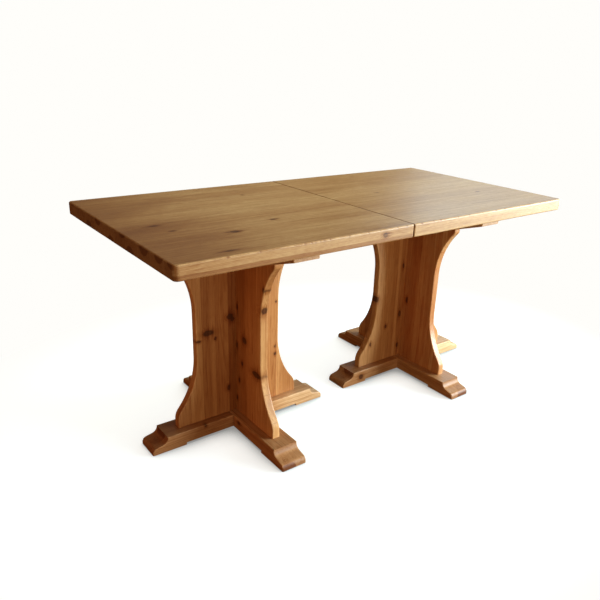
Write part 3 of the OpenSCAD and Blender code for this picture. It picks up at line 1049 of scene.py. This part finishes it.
def metal(name, colour, tarnish, roughness, seed):
    """Plated steel: dulled in patches, finely scratched, and bright where an arris is worn."""
    g = Graph(name)
    place = g.vector("ADD", g.place(), (seed, 0.0, 0.0))
    patches = g.noise(place, 140.0, 4.0, 0.6)
    scratches = g.noise(g.vector("MULTIPLY", place, (2600.0, 180.0, 900.0)), 1.0, 2.0, 0.6)
    grains = g.noise(place, 2200.0, 2.0, 0.5)
    worn_edge_and_highlight = g.step(g.painted("arris"), 0.1, 0.8) * g.step(patches, 0.35, 0.6)
    shown = g.mix(g.step(patches, 0.42, 0.68), colour, tarnish)
    shown = g.mix(scratches * 0.25, shown, g.mix(0.5, shown, SCRATCHED_ZINC))
    shown = g.mix(worn_edge_and_highlight * 0.7, shown, RUBBED_ZINC)
    gloss = roughness + (patches - 0.5) * 0.35 + (scratches - 0.5) * 0.12
    height = scratches * 0.5 + grains * 0.5
    g.shader.inputs["Metallic"].default_value = 1.0
    return g.finish(shown, gloss, height, 0.05 * MM, 0.25)


# ---- Screws, dowels and hooks ----

SCREW_TURN = 2.4       # how far each screw is turned from the one before, in radians
THREAD_PITCH = 1.9 * MM
THREAD_SHARE = 0.6     # share of a screw's length that is threaded
THREAD_DEPTH = 0.22    # depth of a thread over the screw's radius
POINT_L = 4 * MM       # length of a screw's point
SHANK_END = 1 * MM     # plain part between a screw's threads and whatever is next to them
RECESS_DEPTH = 1.7 * MM
SLOT_DEPTH = 1.3 * MM
SLOT_HALF = 0.55 * MM
NECK_L = 6 * MM        # plain part under a round head, which a hook turns on
DOWEL_CHAMFER = 1.2 * MM
DOWEL_FLUTE = 0.05
HOOK_ARRIS = 0.5 * MM
HOOK_SUPPORT = 0.3 * MM
HOOK_ARM_HALF = 6 * MM
HOOK_BOSS_LESS = 1 * MM   # how much smaller a hook's boss is than its end
HOOK_HOLE_HALF = 3 * MM   # half of the height of the shape that cuts a hook's hole
HOOK_PLAY = 0.3 * MM      # between a hook's throat and the screw that it catches


def threads_and_point(radius, start, length):
    """A profile's rounded threads, from the start to near the screw's length, and its point."""
    profile = []
    count = int((length - POINT_L - SHANK_END - start) / THREAD_PITCH)
    for i in range(count):
        z = start + i * THREAD_PITCH
        profile.append((radius * (1 - THREAD_DEPTH), z))
        profile.append((radius, z + 0.35 * THREAD_PITCH))
        profile.append((radius, z + 0.5 * THREAD_PITCH))
    return profile + [(radius * 0.7, length - POINT_L), (radius * 0.12, length - 0.1 * MM)]


def add_recess(bm, place, reach, depth):
    """Adds the cutting shape of a cross recess, narrower towards its bottom."""
    wide = reach * 0.24
    rings = []
    for z, share in ((-0.3 * MM, 1.1), (depth, 0.4)):
        far, near = reach * share, wide * (0.5 + 0.5 * share)
        quarter = [(far, -near), (far, near), (near, near)]
        plus = []
        for turn in range(4):
            plus += quarter
            quarter = [(-y, x) for x, y in quarter]
        rings.append([bm.verts.new(place @ Vector((x, y, z))) for x, y in plus])
    low, high = rings
    for i in range(len(low)):
        bm.faces.new((low[i - 1], low[i], high[i], high[i - 1]))
    bm.faces.new(low[::-1])
    bm.faces.new(high)


def object_of(name, bm):
    """A new object with the mesh, which is freed."""
    bmesh.ops.recalc_face_normals(bm, faces=bm.faces)
    mesh = bpy.data.meshes.new(name)
    bm.to_mesh(mesh)
    bm.free()
    return object_from(name, mesh)


def make_screws(half, kind, material):
    """The countersunk wood screws of one kind in a half, each with a cross recess in its head."""
    node = f"{half}_{kind}_screws"
    radius, head_low = SCREWS[kind]
    bodies, recesses = bmesh.new(), bmesh.new()
    for i, (low, high) in enumerate(solids(node)):
        head_r = (high.x - low.x) / 2
        length = high.z - low.z
        plain = length * (1 - THREAD_SHARE)
        place = from_head(low, high, head_low) @ Matrix.Rotation(SCREW_TURN * i, 4, "Z")
        profile = [(head_r - 0.4 * MM, 0), (head_r - 0.15 * MM, 0.1 * MM)]
        profile += [(radius, HEAD_DEPTH), (radius, plain)]
        profile += threads_and_point(radius, plain + SHANK_END, length)
        add_turned(bodies, profile, 14, place)
        add_recess(recesses, place, head_r * 0.55, RECESS_DEPTH)
    piece = object_of(node + "_turned", bodies)
    combined(piece, recesses, "DIFFERENCE")
    finished(piece, node, material)


def make_hook_screws(node, material):
    """Round-headed screws that the hooks turn on or catch, each with a slot."""
    bodies, slots = bmesh.new(), bmesh.new()
    for i, (low, high) in enumerate(solids(node)):
        head_r = (high.x - low.x) / 2
        dome = head_r * 0.6
        place = from_head(low, high, True)
        profile = []
        for step in range(1, 9):
            angle = math.radians(90 * step / 8)
            profile.append((head_r * math.sin(angle), dome * (1 - math.cos(angle))))
        neck = dome + NECK_L
        profile += [(SCREW_R, dome), (SCREW_R, neck)]
        profile += threads_and_point(SCREW_R, neck + 0.5 * MM, high.z - low.z)
        add_turned(bodies, profile, 20, place)
        start = len(slots.verts)
        add_block(slots, (-head_r, -SLOT_HALF, -OVERCUT), (head_r, SLOT_HALF, SLOT_DEPTH))
        slots.verts.ensure_lookup_table()
        across = Matrix.Rotation(0.9 + 1.3 * i, 4, "Z")
        for vert in slots.verts[start:]:
            vert.co = place @ across @ vert.co
    piece = object_of(node + "_turned", bodies)
    combined(piece, slots, "DIFFERENCE")
    finished(piece, node, material)


def make_dowels(node, axis, material):
    """Fluted dowels with chamfered ends, which lie along X or Y."""
    bm = bmesh.new()
    for low, high in solids(node):
        radius = (high.z - low.z) / 2
        half = (high[axis] - low[axis]) / 2
        profile = [(radius - DOWEL_CHAMFER, -half), (radius - 0.3 * MM, -half + DOWEL_CHAMFER)]
        profile += [(radius, -half + 2 * DOWEL_CHAMFER), (radius, half - 2 * DOWEL_CHAMFER)]
        profile += [(radius - 0.3 * MM, half - DOWEL_CHAMFER), (radius - DOWEL_CHAMFER, half)]
        add_turned(bm, profile, 36, lying(low, high, axis), DOWEL_FLUTE)
    finished(object_of(node + "_turned", bm), node, material)


def hook_outline(boss_r, arm_half, end_r, span, throat_r, sweep):
    """A flat hook with its pivot at the origin: a boss, an arm along x, and an end with a throat."""
    boss = math.degrees(math.asin(arm_half / boss_r))
    join = math.degrees(math.asin(arm_half / end_r))
    mouth_far = math.degrees(math.acos(throat_r / end_r))
    mouth_near = math.degrees(math.acos(-(throat_r + sweep) / end_r))
    points = arc((0, 0), boss_r, boss, 360 - boss, 28, HOOK_ARRIS)
    points += arc((span, 0), end_r, join - 180, mouth_far, 26, HOOK_ARRIS)
    points += arc((span, 0), throat_r, 0, -180, 14, HOOK_ARRIS)
    points += [(span - throat_r - sweep, 0, HOOK_ARRIS)]
    return points + arc((span, 0), end_r, mouth_near, 180 - join, 6, HOOK_ARRIS)


def make_hook(end, material):
    """A flat steel hook under the tops. Its arm runs to the table's end, away from its pivot."""
    node = end + "_hook"
    low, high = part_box(node)
    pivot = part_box("hook_pivot_screws")
    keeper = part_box("hook_keeper_screws")
    side = -1 if end == "front" else 1
    end_r = (high.x - low.x) / 2
    boss_r = end_r - HOOK_BOSS_LESS
    middle_x = (low.x + high.x) / 2
    span = (keeper[0].x + keeper[1].x) / 2 - (pivot[0].x + pivot[1].x) / 2
    base = high.y - boss_r if side < 0 else low.y + boss_r
    throat_r = SCREW_R + HOOK_PLAY
    sweep = span - math.sqrt(span ** 2 - end_r ** 2)
    outline = hook_outline(boss_r, HOOK_ARM_HALF, end_r, span, throat_r, sweep)

    def place(x, y, h):
        return Vector((middle_x + y, base + side * x, h))

    piece = rounded_prism(node + "_plate", outline, low.z, high.z, place, 1.0, HOOK_SUPPORT)
    hole = bmesh.new()
    middle = Matrix.Translation((middle_x, base, (low.z + high.z) / 2))
    hole_r = SCREW_R + FIT_GAP
    add_turned(hole, [(hole_r, -HOOK_HOLE_HALF), (hole_r, HOOK_HOLE_HALF)], 28, middle)
    combined(piece, hole, "DIFFERENCE")
    finished(piece, node, material)


# ---- Room, lights and camera ----

PICTURE_WHITE = tint(1.0, 0.99, 0.957)
FLOOR_PAINT = tint(0.72, 1.0, 1.15)         # cool, so that the warm lights leave it neutral
FLOOR_GLOW = 0.89                           # how much of the floor's white is there even in a shadow
FLOOR_HALF = 40
SHADED_FLOOR = (0.70, 1.25)                 # how far out the floor starts to turn plain white, and ends
SHADED_STRETCH = (0.8, 1.0, 1.0)            # makes the shaded part longer along the table
CONTACT_REACH = 0.10                        # how far from a foot its soft shade on the floor goes
CONTACT_SHADE = 0.70                        # how much white that shade takes away right under the wood
FLOOR_BOUNCE = tint(0.20, 0.12, 0.065)      # the floor as the table sees it: a brown room, not a white one
ROOM_WARM = tint(1.0, 0.80, 0.60)
ROOM_STRENGTH = 0.04


def seen_or_lit(tree, seen, lit):
    """A shader that is one thing in the picture and another as a source of light."""
    path = tree.nodes.new("ShaderNodeLightPath")
    mix = tree.nodes.new("ShaderNodeMixShader")
    tree.links.new(path.outputs["Is Camera Ray"], mix.inputs["Fac"])
    tree.links.new(lit, mix.inputs[1])
    tree.links.new(seen, mix.inputs[2])
    return mix.outputs[0]


def make_floor():
    """A pale floor, far larger than the view."""
    bm = bmesh.new()
    bmesh.ops.create_grid(bm, x_segments=1, y_segments=1, size=FLOOR_HALF)
    floor = object_of("floor", bm)
    floor.data.materials.append(floor_material())


def floor_material():
    """White paint with a glow near the table and a soft shade where feet stand on it, and plain white
    farther away."""
    g = Graph("floor_paint")
    place = g.place()
    open_sky = g.node("AmbientOcclusion", tint(1, 1, 1), CONTACT_REACH).outputs["AO"]
    shade = g.step(open_sky, 0.25, 1.0, 1 - CONTACT_SHADE, 1.0)
    grey = g.step(g.noise(place, 1.5, 3.0, 0.5), 0.3, 0.7, 0.50, 0.52) * shade
    paint = g.node("BsdfDiffuse", g.multiplied(g.colour(grey, grey, grey), FLOOR_PAINT)).outputs[0]
    glow = g.node("Emission", PICTURE_WHITE, FLOOR_GLOW * shade).outputs[0]
    near = g.node("AddShader", paint, glow).outputs[0]
    far = g.node("Emission", PICTURE_WHITE, 1.0).outputs[0]
    away = g.step(g.length(g.vector("MULTIPLY", place, SHADED_STRETCH)), *SHADED_FLOOR)
    shown = g.node("MixShader", away, near, far).outputs[0]
    bounce = g.node("BsdfDiffuse", FLOOR_BOUNCE).outputs[0]
    output = g.tree.nodes["Material Output"]
    g.tree.links.new(seen_or_lit(g.tree, shown, bounce), output.inputs["Surface"])
    g.tree.nodes.remove(g.shader)
    return g.material


def make_world():
    """White behind the table, and a dim room around it."""
    world = bpy.data.worlds.new("room")
    world.use_nodes = True
    tree = world.node_tree
    seen = tree.nodes["Background"]
    seen.inputs["Color"].default_value = PICTURE_WHITE
    room = tree.nodes.new("ShaderNodeBackground")
    room.inputs["Color"].default_value = ROOM_WARM
    room.inputs["Strength"].default_value = ROOM_STRENGTH
    mixed = seen_or_lit(tree, seen.outputs[0], room.outputs[0])
    tree.links.new(mixed, tree.nodes["World Output"].inputs["Surface"])
    bpy.context.scene.world = world


def make_light(name, place, target, size, power, colour):
    """A rectangular soft light aimed at a point."""
    light = bpy.data.lights.new(name, "AREA")
    light.shape = "RECTANGLE"
    light.size, light.size_y = size
    light.energy = power
    light.color = colour
    lamp = bpy.data.objects.new(name, light)
    lamp.location = place
    lamp.rotation_euler = (Vector(target) - Vector(place)).to_track_quat("-Z", "Y").to_euler()
    lamp.visible_camera = False
    bpy.context.scene.collection.objects.link(lamp)


# Name, place, target, size, power and colour
LIGHTS = (
    ("key", (3.9, -2.6, 1.3), (0, -0.2, 0.45), (3.4, 2.2), 545, (0.90, 1.0, 1.0)),
    ("sheen", (4.6, 2.1, 2.9), (0.3, 0, 0.75), (3.0, 1.8), 60, (0.72, 0.92, 1.0)),
    ("sheen_left", (1.7, 4.6, 2.4), (-0.1, 0, 0.75), (2.8, 1.6), 3.0, (1.0, 0.85, 0.68)),
    ("ceiling", (0.6, 0.5, 3.2), (0.2, 0, 0.7), (2.6, 2.6), 50, (1.0, 0.82, 0.50)),
    ("left", (-4.0, 0.4, 0.9), (0, 0, 0.5), (3.0, 1.8), 27, (1.0, 0.31, 0.08)),
    ("front", (-1.0, -4.4, 1.2), (0, 0, 0.5), (3.0, 1.8), 55, (1.0, 0.68, 0.44)),
)


# Angles in degrees and the lens in millimetres
CAMERA_PLACE = (-1.376, -1.678, 1.217)
CAMERA_YAW = -38.26
CAMERA_PITCH = 21.20
CAMERA_ROLL = 2.23
LENS = 36.90
SHIFT_X = -0.030


def make_camera():
    data = bpy.data.cameras.new("camera")
    data.sensor_width = 36
    data.lens = LENS
    data.shift_x = SHIFT_X
    data.clip_start = 0.05
    camera = bpy.data.objects.new("camera", data)
    turn = Matrix.Rotation(math.radians(CAMERA_YAW), 4, "Z")
    turn @= Matrix.Rotation(math.radians(90 - CAMERA_PITCH), 4, "X")
    turn @= Matrix.Rotation(math.radians(CAMERA_ROLL), 4, "Z")
    camera.matrix_world = Matrix.Translation(CAMERA_PLACE) @ turn
    bpy.context.scene.collection.objects.link(camera)
    bpy.context.scene.camera = camera


# ---- The table ----


def board_material(node, wood, grain, across, seed, centre=None):
    low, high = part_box(node)
    middle = centre or (low + high) / 2
    knots, tones = KNOTS.get(node, ()), TONES.get(node, ())
    pine = Pine(node + "_pine", wood, grain, across, middle, seed, knots, tones, MARKS.get(node))
    return pine.material()


def make_timbers(half, kind, wood, seed):
    """A half's pair of feet or bearers."""
    make_timber(half, "long", kind, board_material(f"{half}_long_{kind}", wood, "x", "y", seed))
    make_timber(half, "cross", kind, board_material(f"{half}_cross_{kind}", wood, "y", "x", seed + 1))


def make_half(half, seed):
    """All of the wood and screws of one half. The seed sets the woods' random values."""
    pedestal = Vector((centre_of(half), 0, 0))
    make_top(half, board_material(half + "_top", TOP_PINE, "x", "y", seed))
    make_timbers(half, "foot", FOOT_PINE, seed + 11)
    make_panel(half, "long", board_material(half + "_long_panel", PANEL_PINE, "z", "x", seed + 21, pedestal))
    for i, which in enumerate(("front", "rear")):
        node = f"{half}_{which}_panel"
        wood = RED_SHADED_PANEL_PINE if node == "right_front_panel" else PANEL_PINE
        make_panel(half, which, board_material(node, wood, "z", "y", seed + 31 + i, pedestal))
    make_timbers(half, "bearer", BEARER_PINE, seed + 41)
    for i, end in enumerate(("front", "rear")):
        make_runner(half, end, board_material(f"{half}_{end}_runner", BEECH, "x", "y", seed + 51 + i))
    for kind in SCREWS:
        make_screws(half, kind, ZINC)
    dowels = half + "_panel_dowels"
    make_dowels(dowels, 1, board_material(dowels, BEECH, "y", "x", seed + 61))


ZINC = metal("screw_zinc", tint(0.60, 0.59, 0.56), tint(0.34, 0.32, 0.29), 0.38, 1.7)
HOOK_STEEL = metal("hook_zinc", tint(0.64, 0.62, 0.58), tint(0.38, 0.35, 0.30), 0.32, 4.1)

make_half("left", 3)
make_half("right", 203)
make_dowels("seam_dowels", 0, board_material("seam_dowels", BEECH, "x", "y", 71))
make_hook_screws("hook_pivot_screws", ZINC)
make_hook_screws("hook_keeper_screws", ZINC)
make_hook("front", HOOK_STEEL)
make_hook("rear", HOOK_STEEL)

make_floor()
make_world()
for light_row in LIGHTS:
    make_light(*light_row)
make_camera()
bpy.context.scene.view_settings.view_transform = "Standard"
